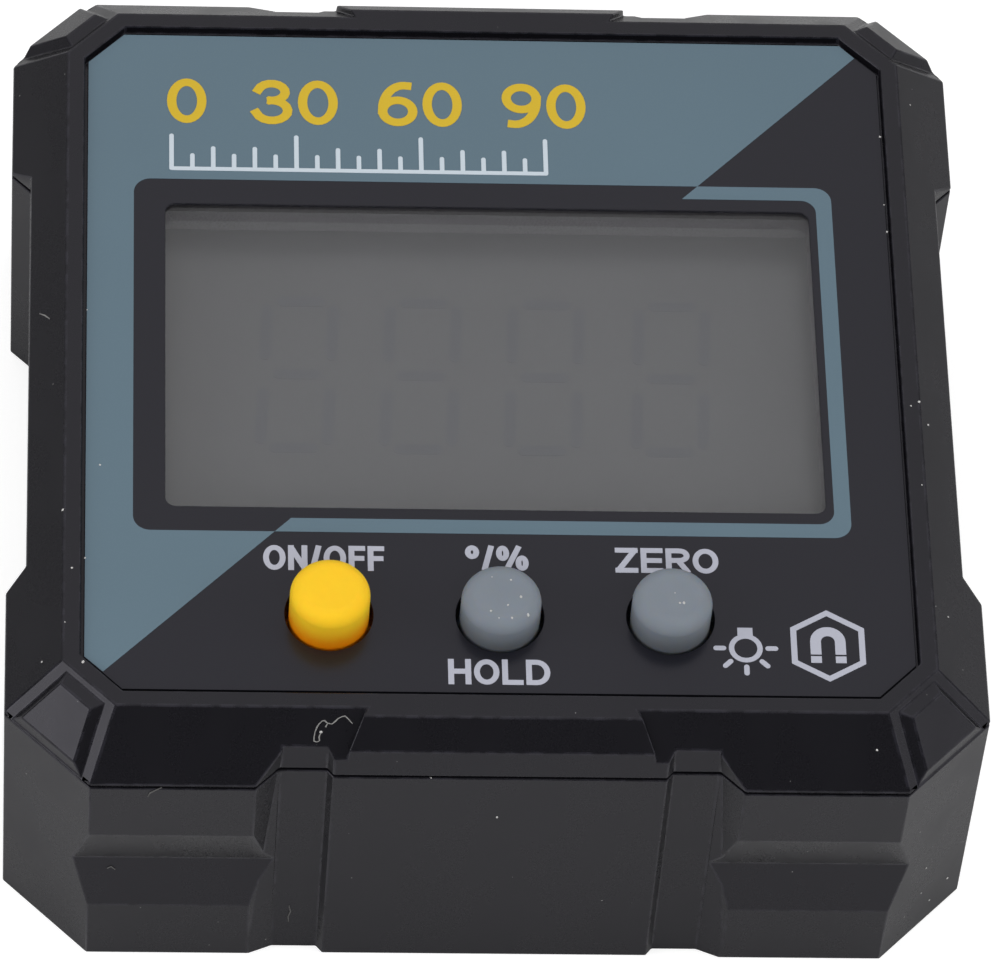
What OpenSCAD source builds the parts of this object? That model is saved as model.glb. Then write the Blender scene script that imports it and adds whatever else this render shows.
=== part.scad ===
// Digital angle gauge: square two-shell case lying on its back, display up.
// Origin at the middle of the back face, +Z out of the display, -Y the magnetic base.

/* [Case] */
// Side of the square case, measured over its flat pads
body_w = 62; // [60:0.5:68]
// Leg of the cut corners in plan
corner_cut = 5.4; // [4.4:0.2:6.4]
// Wall thickness behind the pads
wall = 3.4; // [3.2:0.1:3.8]
// Thickness of the back wall
back_t = 1.8; // [1.8:0.1:2.1]
// Open line between the two shells
joint_gap = 0.25; // [0.2:0.05:0.4]

/* [Side reliefs] */
// Half width between the inner ends of the base pads
pad_in = 15.3; // [14.8:0.1:15.8]
// Half width of the relief floor between the base pads
relief_x = 13.7; // [13.4:0.1:14]
// Depth of that floor at the joint line
relief_d = 1.5; // [1.2:0.1:1.6]
// Half width of the raised centre panel
panel_x = 10.45; // [10.3:0.05:10.6]
// Step from the relief floor up to the centre panel
panel_rise = 0.5; // [0.3:0.05:0.6]
// Outward lean of the rear case relief, degrees
case_lean = 2.6; // [2:0.1:3]
// Inward lean of the front cover relief, degrees
cover_lean = 9.4; // [7:0.2:11]
// Depth of the long recess in the left and right sides
flank_d = 1.25; // [0.8:0.05:1.4]
// Half length of the floor of that recess
flank_y = 15.4; // [14:0.2:17]

/* [Grip notch] */
// Height of the deepest line of the notch
notch_z = 9.9; // [9.1:0.1:10.4]
// Half height of the notch mouth
notch_h = 4.1; // [3.4:0.1:4.6]
// Depth of the notch
notch_d = 1; // [0.6:0.05:1]

/* [Front cover] */
// Rise of the sloped edge from the joint line to the rim
slope = 3.6; // [3.4:0.1:4]
// Height of the upright edge below the slope
cover_lip = 0.2; // [0.1:0.05:0.3]
// Width of the flat rim round the label
rim_w = 1.1; // [0.9:0.1:1.4]
// Thickness of the top plate under the label
plate_t = 2; // [1.8:0.1:2.1]
// Half width of the raised centre block at the rim
block_x = 8.4; // [7.6:0.1:8.8]
// How far the centre block stands out from the slope
block_out = 0.65; // [0.4:0.05:0.8]
// Height of the upright foot of the raised pad on each corner facet
pad_foot = 0.9; // [0.6:0.05:1]

/* [Label and window] */
// Sink of the label below the rim
label_sink = 0.4; // [0.3:0.05:0.6]
// Thickness of the printed label
label_t = 0.25; // [0.2:0.05:0.4]
// Gap beside the label, left and right
label_gap = 0.2; // [0.15:0.05:0.3]
// Gap at the near and far ends of the label
label_end = 0.35; // [0.2:0.05:0.4]
// Distance from the side pads to the display opening
window_side = 10; // [9.5:0.1:11]
// Distance from the base and top pads to the display opening
window_end = 19; // [18.8:0.1:20.5]
// Radius in the corners of the display opening
window_round = 0.7; // [0.4:0.1:1]
// Thickness of the clear window
window_t = 1.2; // [0.8:0.1:1.3]

/* [Display] */
// Thickness of the display glass
lcd_t = 1.8; // [1.6:0.1:2]
// Thickness of the light panel behind the glass
light_t = 1.5; // [1.2:0.1:1.6]
// Floor of the tray that carries the light panel
holder_t = 1.2; // [1.1:0.05:1.5]
// Thickness of the foam gasket over the glass
gasket_t = 1.15; // [0.9:0.05:1.25]

/* [Buttons] */
// Diameter of a button
button_d = 5.05; // [4.8:0.05:5.4]
// Distance between neighbouring buttons
button_pitch = 10.75; // [10:0.05:11]
// Shift of the button row from the middle of the strip below the display, towards it
button_shift = 1.35; // [1.15:0.05:1.6]
// Height of the grey buttons over the label
button_rise = 2.45; // [2:0.05:2.8]
// How much higher the power button stands
power_extra = 0.5; // [0.2:0.05:0.7]
// Clearance round a button in its hole
button_gap = 0.25; // [0.2:0.05:0.35]
// Radius of the rounded top edge of a button
button_round = 0.9; // [0.5:0.1:1.2]
// Stroke of a button
button_travel = 0.35; // [0.2:0.05:0.4]

/* [Power] */
// Diameter of a battery cell
cell_d = 10.4; // [10.2:0.05:10.5]
// Length of a battery cell over its stud
cell_len = 44.5; // [44:0.1:44.7]
// Thickness of the battery door
door_t = 1.6; // [1.4:0.1:1.7]
// Sliding clearance round the battery door
door_gap = 0.15; // [0.15:0.05:0.25]

/* [Board] */
// Thickness of the circuit board
board_t = 1.2; // [1:0.1:1.4]
// Distance of the case screws from the pad faces
boss_in = 8.4; // [8.2:0.1:8.6]

/* [Hidden] */
half = body_w / 2;
fit_gap = 0.1;
corner_step = 2 - sqrt(2);
case_flare = 0.41;
corner_r = (body_w - corner_cut) / sqrt(2);
boss_xy = half - boss_in;
boss_d = 6.4;
post_d = 8;
cell_gap = 0.3;
cell_x = cell_d / 2 + fit_gap;
cell_z = door_t + 2 * cell_gap + cell_d / 2;
bay_x = cell_x + cell_d / 2 + cell_gap;
bay_wall = 1.2;
roof_z = cell_z + cell_d / 2 + cell_gap;
roof_t = 0.8;
contact_t = 0.4;
contact_w = 7.6;
contact_h = 8;
tab_w = 2.4;
leaf_y = 5;
leaf_w = 4;
bay_y = (cell_len + leaf_y + 2 * contact_t) / 2;
board_z = roof_z + roof_t + 2 * fit_gap;
board_top = board_z + board_t;
light_z = board_top + holder_t;
lcd_z = light_z + light_t;
lcd_top = lcd_z + lcd_t;
plate_z = lcd_top + gasket_t;
label_z = plate_z + plate_t;
rim_z = label_z + label_t + label_sink;
joint_h = rim_z - slope;
seam_z = joint_h - cover_lip - joint_gap;
window_w = body_w - 2 * window_side;
window_h = body_w - 2 * window_end;
ledge_step = 0.8;
window_lap = 1.4;
glass_lap = 2.4;
ledge_w = window_w + 2 * ledge_step;
ledge_h = window_h + 2 * ledge_step;
rabbet_w = window_w + 2 * window_lap;
rabbet_h = window_h + 2 * window_lap;
lcd_w = window_w + 2 * glass_lap;
lcd_h = window_h + 2 * glass_lap;
holder_wall = 1.2;
holder_w = lcd_w + 2 * (fit_gap + holder_wall);
holder_h = lcd_h + 2 * (fit_gap + holder_wall);
root_z = back_t / 3;
post_z = board_z - 1.8;
screw_d = 2.5;
screw_head_d = 4.6;
screw_seat = 3.4;
screw_bite = 5;
thread_gap = 0.06;
support_x = boss_xy - 6.1;
support_y = boss_xy - 1.4;
support_d = 5;
board_screw_d = 1.8;
board_screw_len = 6;
board_inset = wall + 0.6;
lip_t = 1;
lip_drop = 1.5;
lip_bite = 0.4;
door_top_x = panel_x - door_gap;
door_low_x = door_top_x - 0.7;
door_end = bay_y + 0.6;
rib_w = 12;
rib_step = 1.6;
button_y = (window_h / 2 + half) / 2 - button_shift;
flange_t = 0.7;
flange_z = plate_z - 2 * fit_gap - flange_t;
switch_w = 6;
switch_top = flange_z - button_travel - 0.35;
plunger_d = 3.4;
plunger_gap = 0.08;
plunger_z = switch_top - 0.7;
strip_w = 2;
strip_y = strip_w * 0.7 - lcd_h / 2;
led_w = 1.4;
led_len = 3.2;
led_rise = 1.2;
led_x = lcd_w / 2 - 1.9;
led_y = lcd_h / 5;
light_end = 2 * led_w + 0.6;
light_side = 1.5 * strip_w;
chip_w = 7;
chip_t = 1.2;
chip_y = (holder_h / 2 + half - board_inset) / 2;
sensor_w = 4;
sensor_t = 1;
magnet_t = 2;
magnet_h = 9;
magnet_from = bay_x + bay_wall + cell_gap;
magnet_to = boss_xy - boss_d / 2;
$fa = 4;
$fs = 0.3;

// Plan of the case, moved inwards by an inset on all eight sides
module plan(inset) {
  h = half - inset;
  c = corner_cut - inset * corner_step;
  polygon([[h, c - h], [h, h - c], [h - c, h], [c - h, h],
    [-h, h - c], [-h, c - h], [c - h, -h], [h - c, -h]]);
}

// Everything outside the 45 degree slope that starts at a distance from the middle
module above_slope(distance) {
  reach = 4 * slope;
  translate([distance, 0, joint_h])
    rotate([0, -45, 0])
      translate([0, -half, -reach])
        cube([reach, body_w, 2 * reach]);
}

// Removal between the two pads of the base, standing on the joint line
module base_relief(lean, flare) {
  far = 7;
  out = relief_x + far;
  step = 0.8 * panel_rise;
  panel_d = relief_d - panel_rise;
  tall = joint_h + 2 * slope;
  intersection() {
    translate([0, -half, joint_h])
      rotate([-lean, 0, 0])
        translate([0, 0, -tall])
          linear_extrude(2 * tall)
            polygon([[-out, relief_d - far * flare], [-relief_x, relief_d],
              [-panel_x - step, relief_d], [-panel_x, panel_d],
              [panel_x, panel_d], [panel_x + step, relief_d],
              [relief_x, relief_d], [out, relief_d - far * flare],
              [out, -far], [-out, -far]]);
    translate([0, -half, -1])
      linear_extrude(joint_h + slope + 2)
        polygon([[-pad_in - far, -far], [-relief_x, pad_in - relief_x], [-relief_x, far],
          [relief_x, far], [relief_x, pad_in - relief_x], [pad_in + far, -far]]);
  }
}

// Long shallow recess of the left and right sides
module flank_relief() {
  far = 3;
  out = flank_y + flank_d + far;
  translate([half, 0, -1])
    linear_extrude(rim_z + 2)
      polygon([[far, -out], [-flank_d, -flank_y], [-flank_d, flank_y], [far, out]]);
}

// All side reliefs of one shell
module side_reliefs(lean, flare) {
  for (turn = [0, 180])
    rotate([0, 0, turn]) {
      base_relief(lean, flare);
      flank_relief();
    }
}

// One length of the V shaped grip notch, cut into a face at a distance from the middle
module notch_run(distance, from, to) {
  reach = 0.6;
  mouth = notch_h * (notch_d + reach) / notch_d;
  translate([distance, to, notch_z])
    rotate([90, 0, 0])
      linear_extrude(to - from)
        polygon([[reach, mouth], [-notch_d, 0], [reach, -mouth]]);
}

// Grip notch across the pads of the base and of the far edge
module grip_notch() {
  for (turn = [90, 270])
    rotate([0, 0, turn]) {
      notch_run(half, relief_x, half + 1);
      notch_run(half, -half - 1, -relief_x);
    }
}

// Everything on the inner side of one drafted side of a corner pad
module pad_side(side, low) {
  reach = 4 * slope;
  taper = atan(corner_step / 2);
  draft = 37;
  translate([0, side * low, 0])
    rotate([side * taper, 0, 0])
      rotate([0, 0, -side * draft])
        translate([-reach, -(1 + side) * reach, -reach])
          cube(2 * reach);
}

// Raised pad on one corner facet of the front cover, flat on top and just below the rim
module corner_pad() {
  reach = 4 * slope;
  ledge = 0.8;
  drop = 0.3;
  low = corner_cut / sqrt(2) - ledge;
  intersection() {
    difference() {
      translate([corner_r - reach, -reach, joint_h - cover_lip])
        cube([reach, 2 * reach, slope - drop + cover_lip]);
      above_slope(corner_r + pad_foot);
    }
    translate([corner_r, 0, joint_h])
      rotate([0, -45, 0])
        intersection() {
          pad_side(-1, low);
          pad_side(1, low);
        }
  }
}

// Raised block in the middle of the slope on the base side, wider at its foot
module centre_block() {
  foot = 1;
  low = block_x + 1.9 * foot;
  difference() {
    translate([0, 0, joint_h + foot])
      linear_extrude(slope - foot)
        polygon([[-block_x, slope - half], [block_x, slope - half], [low, -half], [-low, -half]]);
    rotate([0, 0, -90])
      above_slope(half + block_out);
  }
}

// Points of the four case screws
module at_bosses() {
  for (x = [-boss_xy, boss_xy], y = [-boss_xy, boss_xy])
    translate([x, y, 0])
      children();
}

// Points under the board where it rests on the rear case, in rows along X
module at_supports(rows) {
  for (x = [-support_x, support_x], y = rows)
    translate([x, y, 0])
      children();
}

// Points of the three buttons
module at_buttons() {
  for (x = [-button_pitch, 0, button_pitch])
    translate([x, -button_y, 0])
      children();
}

module block(w, d, low, high) {
  translate([-w / 2, -d / 2, low])
    cube([w, d, high - low]);
}

module front_cover() {
  color([0.11, 0.11, 0.12])
    difference() {
      union() {
        difference() {
          union() {
            difference() {
              translate([0, 0, joint_h - cover_lip])
                linear_extrude(slope + cover_lip)
                  plan(0);
              for (turn = [0, 90, 180, 270])
                rotate([0, 0, turn]) {
                  above_slope(half);
                  rotate([0, 0, 45])
                    above_slope(corner_r);
                }
            }
            for (turn = [0, 180])
              rotate([0, 0, turn])
                centre_block();
            for (turn = [45, 135, 225, 315])
              rotate([0, 0, turn])
                corner_pad();
          }
          side_reliefs(cover_lean, 0);
          translate([0, 0, joint_h - lip_drop])
            linear_extrude(plate_z - joint_h + lip_drop)
              plan(wall + fit_gap);
        }
        translate([0, 0, joint_h - lip_drop])
          linear_extrude(plate_z - joint_h + lip_drop + lip_bite)
            difference() {
              plan(wall + fit_gap);
              plan(wall + fit_gap + lip_t);
            }
        at_bosses()
          translate([0, 0, post_z])
            cylinder(d = boss_d, h = plate_z - post_z + lip_bite);
      }
      translate([0, 0, label_z])
        linear_extrude(rim_z)
          plan(slope + rim_w);
      block(ledge_w, ledge_h, joint_h - 3, rim_z);
      block(rabbet_w, rabbet_h, label_z - window_t, rim_z);
      at_buttons()
        translate([0, 0, plate_z - 1])
          cylinder(d = button_d + 2 * button_gap, h = plate_t + 2);
      at_bosses()
        translate([0, 0, post_z - 1])
          cylinder(d = screw_d + thread_gap, h = screw_bite + 2);
    }
}

module rear_case() {
  color([0.13, 0.13, 0.14])
    difference() {
      union() {
        difference() {
          linear_extrude(seam_z)
            plan(0);
          side_reliefs(case_lean, case_flare);
          grip_notch();
          translate([0, 0, back_t])
            linear_extrude(joint_h)
              plan(wall);
        }
        intersection() {
          block(2 * (bay_x + bay_wall), body_w, root_z, roof_z + roof_t);
          linear_extrude(joint_h)
            plan(wall - lip_bite);
        }
        at_bosses()
          translate([0, 0, root_z])
            cylinder(d = post_d, h = post_z - root_z);
        at_supports([-support_y, support_y])
          translate([0, 0, root_z])
            cylinder(d = support_d, h = board_z - root_z);
      }
      block(2 * bay_x, 2 * bay_y, door_t, roof_z);
      door_slot();
      for (x = [-cell_x, cell_x])
        translate([x, contact_t / 2 - bay_y, 0])
          block(tab_w + 4 * fit_gap, contact_t + 4 * fit_gap, roof_z - 1, board_z);
      at_bosses() {
        translate([0, 0, -1])
          cylinder(d = screw_head_d + 0.8, h = screw_seat + 1);
        cylinder(d = screw_d + 0.5, h = joint_h);
      }
      at_supports([support_y])
        translate([0, 0, board_z - board_screw_len - 1])
          cylinder(d = board_screw_d + thread_gap, h = joint_h);
    }
}

// Opening in the back wall that the battery door slides in
module door_slot() {
  lead = (door_top_x - door_low_x) / door_t;
  top = door_t + door_gap;
  low = door_low_x + door_gap;
  translate([0, -door_end - door_gap, 0])
    rotate([90, 0, 180])
      linear_extrude(body_w)
        polygon([[lead - low, -1], [-low - lead * top, top], [low + lead * top, top], [low - lead, -1]]);
}

module battery_door() {
  color([0.13, 0.13, 0.14])
    difference() {
      translate([0, -door_end, 0])
        rotate([90, 0, 180])
          linear_extrude(half + door_end)
            polygon([[-door_low_x, 0], [-door_top_x, door_t],
              [door_top_x, door_t], [door_low_x, 0]]);
      rotate([0, 0, 180])
        base_relief(case_lean, case_flare);
      for (row = [3, 4, 5])
        translate([0, half - row * rib_step, 0])
          block(rib_w, rib_step / 2, -1, door_t / 4);
    }
}

module face_label() {
  color([0.2, 0.2, 0.22])
    difference() {
      translate([0, 0, label_z])
        linear_extrude(label_t)
          intersection() {
            plan(slope + rim_w + label_gap);
            square([body_w, body_w - 2 * (slope + rim_w + label_end)], center = true);
          }
      block(window_w - 2 * window_round, window_h, label_z - 1, rim_z);
      block(window_w, window_h - 2 * window_round, label_z - 1, rim_z);
      for (x = [-1, 1], y = [-1, 1])
        translate([x * (window_w / 2 - window_round), y * (window_h / 2 - window_round), label_z - 1])
          cylinder(r = window_round, h = label_t + 2);
      at_buttons()
        translate([0, 0, label_z - 1])
          cylinder(d = button_d + 2 * button_gap, h = label_t + 2);
    }
}

module display_window() {
  color([0.6, 0.62, 0.64, 0.4])
    block(rabbet_w - 2 * fit_gap, rabbet_h - 2 * fit_gap, label_z - window_t, label_z);
}

module display_gasket() {
  color([0.16, 0.16, 0.17])
    difference() {
      union() {
        block(lcd_w, lcd_h, lcd_top, plate_z);
        block(ledge_w - 2 * fit_gap, ledge_h - 2 * fit_gap, lcd_top, label_z - window_t);
      }
      block(window_w + 2 * fit_gap, window_h + 2 * fit_gap, lcd_top - 1, label_z);
    }
}

module lcd_glass() {
  color([0.42, 0.42, 0.43])
    block(lcd_w, lcd_h, lcd_z, lcd_top);
}

module light_panel() {
  color([0.85, 0.88, 0.85])
    translate([-light_end / 2, light_side / 2, 0])
      block(lcd_w - light_end, lcd_h - light_side, light_z, lcd_z);
}

module lcd_holder() {
  color([0.8, 0.8, 0.78])
    difference() {
      block(holder_w, holder_h, board_top, lcd_top - 3 * fit_gap);
      block(lcd_w + 2 * fit_gap, lcd_h + 2 * fit_gap, light_z, rim_z);
      translate([0, strip_y, 0])
        block(lcd_w - 2 * strip_w + 4 * fit_gap, strip_w + 3 * fit_gap, board_top - 1, rim_z);
      for (y = [-led_y, led_y])
        translate([led_x, y, 0])
          block(led_w + 4 * fit_gap, led_len + 4 * fit_gap, board_top - 1, rim_z);
    }
}

module contact_strip() {
  color([0.75, 0.45, 0.5])
    translate([0, strip_y, 0])
      block(lcd_w - 2 * strip_w, strip_w, board_top, lcd_z);
}

module backlight_leds() {
  color([0.95, 0.93, 0.8])
    for (y = [-led_y, led_y])
      translate([led_x, y, 0])
        block(led_w, led_len, board_top, light_z + led_rise);
}

module main_board() {
  color([0.1, 0.35, 0.2])
    difference() {
      translate([0, 0, board_z])
        linear_extrude(board_t)
          plan(board_inset);
      at_bosses()
        translate([0, 0, board_z - 1])
          cylinder(d = boss_d + 10 * fit_gap, h = board_t + 2);
      at_supports([support_y])
        translate([0, 0, board_z - 1])
          cylinder(d = board_screw_d + 4 * fit_gap, h = board_t + 2);
    }
}

module controller_chip() {
  color([0.08, 0.08, 0.08])
    translate([0, chip_y, 0])
      block(chip_w, chip_w, board_top, board_top + chip_t);
}

module tilt_sensor() {
  color([0.15, 0.15, 0.16])
    translate([-chip_w / 2 - sensor_w, chip_y, 0])
      block(sensor_w, sensor_w, board_top, board_top + sensor_t);
}

module switch_bodies() {
  color([0.1, 0.1, 0.1])
    at_buttons()
      difference() {
        block(switch_w, switch_w, board_top, switch_top);
        translate([0, 0, plunger_z - button_travel - 2 * fit_gap])
          cylinder(d = plunger_d + 2 * plunger_gap, h = switch_top);
      }
}

// Button with a rounded top edge and a flange that stays under the top plate
module button(rise) {
  r = button_d / 2;
  top = label_z + label_t + rise;
  rotate_extrude() {
    translate([0, flange_z])
      square([r + button_gap + flange_t, flange_t]);
    translate([0, flange_z])
      square([r, top - button_round - flange_z]);
    translate([0, flange_z])
      square([r - button_round, top - flange_z]);
    translate([r - button_round, top - button_round])
      intersection() {
        circle(r = button_round);
        square(button_round);
      }
  }
}

module plunger() {
  translate([0, 0, plunger_z])
    cylinder(d = plunger_d, h = flange_z - plunger_z);
}

module power_button() {
  color([0.95, 0.72, 0.1])
    translate([-button_pitch, -button_y, 0])
      button(button_rise + power_extra);
}

module hold_button() {
  color([0.5, 0.53, 0.54])
    translate([0, -button_y, 0])
      button(button_rise);
}

module zero_button() {
  color([0.5, 0.53, 0.54])
    translate([button_pitch, -button_y, 0])
      button(button_rise);
}

module power_plunger() {
  color([0.85, 0.85, 0.82])
    translate([-button_pitch, -button_y, 0])
      plunger();
}

module hold_plunger() {
  color([0.85, 0.85, 0.82])
    translate([0, -button_y, 0])
      plunger();
}

module zero_plunger() {
  color([0.85, 0.85, 0.82])
    translate([button_pitch, -button_y, 0])
      plunger();
}

// Battery cell along +Y with its stud against the contact plate
module cell() {
  stud = 1;
  stud_d = 3.8;
  translate([0, bay_y - contact_t, cell_z])
    rotate([90, 0, 0]) {
      cylinder(d = stud_d, h = 2 * stud);
      translate([0, 0, stud])
        cylinder(d = cell_d, h = cell_len - stud);
    }
}

module battery_left() {
  color([0.2, 0.25, 0.3])
    translate([-cell_x, 0, 0])
      cell();
}

module battery_right() {
  color([0.2, 0.25, 0.3])
    translate([cell_x, 0, 0])
      rotate([0, 0, 180])
        cell();
}

// Bowed spring leaf on a contact plate at the -Y end of the bay
module leaf() {
  deep = bay_y * 2 - contact_t - cell_len;
  foot = contact_h / 2;
  tip = foot / 5;
  translate([-leaf_w / 2, -bay_y, cell_z])
    rotate([90, 0, 90])
      linear_extrude(leaf_w)
        difference() {
          polygon([[0, -foot], [deep, -tip], [deep, tip], [0, foot]]);
          polygon([[contact_t, tip - foot], [deep - contact_t, -tip + 2 * fit_gap],
            [deep - contact_t, tip - 2 * fit_gap], [contact_t, foot - tip]]);
        }
}

// Flat contact plate at the -Y end of the bay with its solder tab
module contact_plate() {
  translate([0, contact_t / 2 - bay_y, 0]) {
    block(contact_w, contact_t, cell_z - contact_h / 2, cell_z + contact_h / 2);
    block(tab_w, contact_t, cell_z, board_z);
  }
}

module contact_bridge() {
  color([0.75, 0.76, 0.75])
    rotate([0, 0, 180]) {
      translate([0, contact_t / 2 - bay_y, 0])
        block(2 * cell_x + contact_w, contact_t, cell_z - contact_h / 2, cell_z + contact_h / 2);
      translate([-cell_x, 0, 0])
        leaf();
    }
}

module contact_positive() {
  color([0.75, 0.76, 0.75])
    translate([cell_x, 0, 0])
      contact_plate();
}

module contact_negative() {
  color([0.75, 0.76, 0.75])
    translate([-cell_x, 0, 0]) {
      contact_plate();
      leaf();
    }
}

module base_magnets() {
  color([0.7, 0.7, 0.72])
    for (side = [-1, 1])
      translate([side * (magnet_from + magnet_to) / 2, wall - half + magnet_t / 2, 0])
        block(magnet_to - magnet_from, magnet_t, back_t, back_t + magnet_h);
}

// Pan head screw standing on its head, seat at z = 0
module screw(d, head_d, head_t, length) {
  difference() {
    union() {
      translate([0, 0, -head_t])
        cylinder(d = head_d, h = head_t);
      cylinder(d = d, h = length);
    }
    block(head_d * 0.6, head_d * 0.14, -head_t - 1, -head_t * 0.55);
    block(head_d * 0.14, head_d * 0.6, -head_t - 1, -head_t * 0.55);
  }
}

module case_screws() {
  color([0.3, 0.3, 0.31])
    at_bosses()
      translate([0, 0, screw_seat])
        screw(screw_d, screw_head_d, screw_seat / 2, post_z - screw_seat + screw_bite);
}

module board_screws() {
  color([0.6, 0.6, 0.58])
    at_supports([support_y])
      translate([0, 0, board_top])
        rotate([180, 0, 0])
          screw(board_screw_d, board_screw_d * 1.9, board_screw_d * 0.7, board_t + board_screw_len);
}

front_cover();
rear_case();
battery_door();
face_label();
display_window();
display_gasket();
lcd_glass();
light_panel();
lcd_holder();
contact_strip();
backlight_leds();
main_board();
controller_chip();
tilt_sensor();
switch_bodies();
power_button();
hold_button();
zero_button();
power_plunger();
hold_plunger();
zero_plunger();
battery_left();
battery_right();
contact_bridge();
contact_positive();
contact_negative();
base_magnets();
case_screws();
board_screws();
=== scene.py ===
"""Looks of a digital angle gauge: satin black case, printed label, clear window, rubber buttons."""

from math import cos, pi, radians, sin

import bmesh
import bpy
from mathutils import Matrix, Vector
from mathutils.bvhtree import BVHTree


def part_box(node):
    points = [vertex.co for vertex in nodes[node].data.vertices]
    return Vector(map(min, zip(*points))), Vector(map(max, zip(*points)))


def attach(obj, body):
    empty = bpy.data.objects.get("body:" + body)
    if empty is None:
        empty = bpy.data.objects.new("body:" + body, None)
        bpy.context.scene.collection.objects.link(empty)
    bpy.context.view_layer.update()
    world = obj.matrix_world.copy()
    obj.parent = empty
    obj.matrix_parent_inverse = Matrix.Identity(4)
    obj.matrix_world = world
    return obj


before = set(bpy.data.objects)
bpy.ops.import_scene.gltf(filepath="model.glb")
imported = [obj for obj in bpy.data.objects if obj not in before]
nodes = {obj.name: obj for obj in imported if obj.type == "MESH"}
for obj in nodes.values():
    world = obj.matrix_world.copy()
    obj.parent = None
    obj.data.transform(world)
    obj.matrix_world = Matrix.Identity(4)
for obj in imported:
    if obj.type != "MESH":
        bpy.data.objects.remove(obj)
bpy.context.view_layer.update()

MM = 0.001

# The photograph's frame, and the camera solved for it.
IMAGE_W = 1000
IMAGE_H = 966
FOCAL_PX = 7653.8
SENSOR_W = 36
AZIMUTH = radians(-6.072)
ELEVATION = radians(54.665)
ROLL = radians(-5.676)
CAMERA_AT = Vector((-29.508, -289.761, 419.924)) * MM

# Printed label: the places are in millimetres on the face.
LABEL_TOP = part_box("face_label")[1].z / MM
LABEL_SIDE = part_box("face_label")[1].x / MM
LABEL_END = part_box("face_label")[1].y / MM
LABEL_REACH = max(v.co.x + v.co.y for v in nodes["face_label"].data.vertices) / MM
LCD_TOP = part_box("lcd_glass")[1].z / MM
INK = 0.02
INK_STEP = 0.003
INK_INSET = 0.05
SPLIT = 0.2
BORDER_LEFT = -23.05
BORDER_RIGHT = 22.55
BORDER_LOW = -13.9
BORDER_HIGH = 14.0
BORDER_ROUND = 1.1
STRIPE = 1.05

# Colours of the finishes: even black ink and plastic reflect a little.
CASE_BLACK = (0.006, 0.0058, 0.0076)
LABEL_BLACK = (0.0085, 0.0085, 0.012)
FIELD_BLUE = (0.1, 0.158, 0.197)
PRINT_GREY = (0.42, 0.43, 0.5)
PRINT_WHITE = (0.55, 0.62, 0.68)
PRINT_YELLOW = (0.62, 0.42, 0.012)
SEGMENT_GREY = (0.053, 0.055, 0.06)
GLASS_DARK = (0.055, 0.055, 0.059)
GLASS_LIGHT = (0.063, 0.063, 0.068)
FOAM_DARK = (0.078, 0.076, 0.083)
FOAM_LIGHT = (0.098, 0.096, 0.104)
YELLOW_TOP = (0.93, 0.575, 0.022)
# Painted shade: the yellow button's colour at its foot, where shade falls on its side.
YELLOW_FOOT_SHADE = (0.8, 0.22, 0.0015)
GREY_TOP = (0.205, 0.231, 0.265)
# Painted shade: the grey buttons' colour at their foot, where shade falls on their sides.
GREY_FOOT_SHADE = (0.11, 0.12, 0.136)
DUST_WHITE = (0.62, 0.61, 0.6)
FLOOR_DARK = (0.55, 0.55, 0.55)
FLOOR_LIGHT = (0.57, 0.57, 0.57)
FLOOR_GLOW = (0.66, 0.66, 0.66)
BLACK = (0, 0, 0)
WHITE = (1, 1, 1, 1)
GLOSS_TINT = (0.92, 0.9, 1.0, 1)

# Refractive indices.
PLASTIC_IOR = 1.5
ACRYLIC_IOR = 1.49
RUBBER_IOR = 1.43

# Painted shade on the rubber buttons: their colour darkens from a height above the label down to a depth
# below it, where shade falls at the foot of each button.
RUBBER_SHADE_HIGH = 2.0
RUBBER_SHADE_DEEP = 0.3

# Battery sleeve: where its band and its caps begin and end, as squares of the distance from the middle.
SLEEVE_BAND = (196.0, 200.0)
SLEEVE_CAP = (462.0, 470.0)

# Softened edges.
WELD_GAP = 0.0005
FLAT_ANGLE = radians(0.5)
EDGE_ANGLE = radians(10)
EDGE_STEPS = 3
EDGE_SLOT = 1

# Sockets of a Mix node that mixes colours.
MIX_FACTOR = 0
MIX_A = 6
MIX_B = 7
MIX_RESULT = 2


class Value:
    """One output of a finish's nodes; arithmetic on it adds Math nodes."""

    def __init__(self, finish, socket):
        self.finish = finish
        self.socket = socket

    def math(self, operation, *terms):
        return self.finish.node("Math", {"operation": operation}, dict(enumerate(terms)))

    def __add__(self, other):
        return self.math("ADD", self, other)

    def __radd__(self, other):
        return self.math("ADD", other, self)

    def __sub__(self, other):
        return self.math("SUBTRACT", self, other)

    def __rsub__(self, other):
        return self.math("SUBTRACT", other, self)

    def __mul__(self, other):
        return self.math("MULTIPLY", self, other)

    def __rmul__(self, other):
        return self.math("MULTIPLY", other, self)

    def between(self, low, high):
        """0 below low, 1 above high, smooth in between."""
        settings = {"interpolation_type": "SMOOTHSTEP", "clamp": True}
        return self.finish.node("MapRange", settings, {"Value": self, "From Min": low, "From Max": high})


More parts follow.
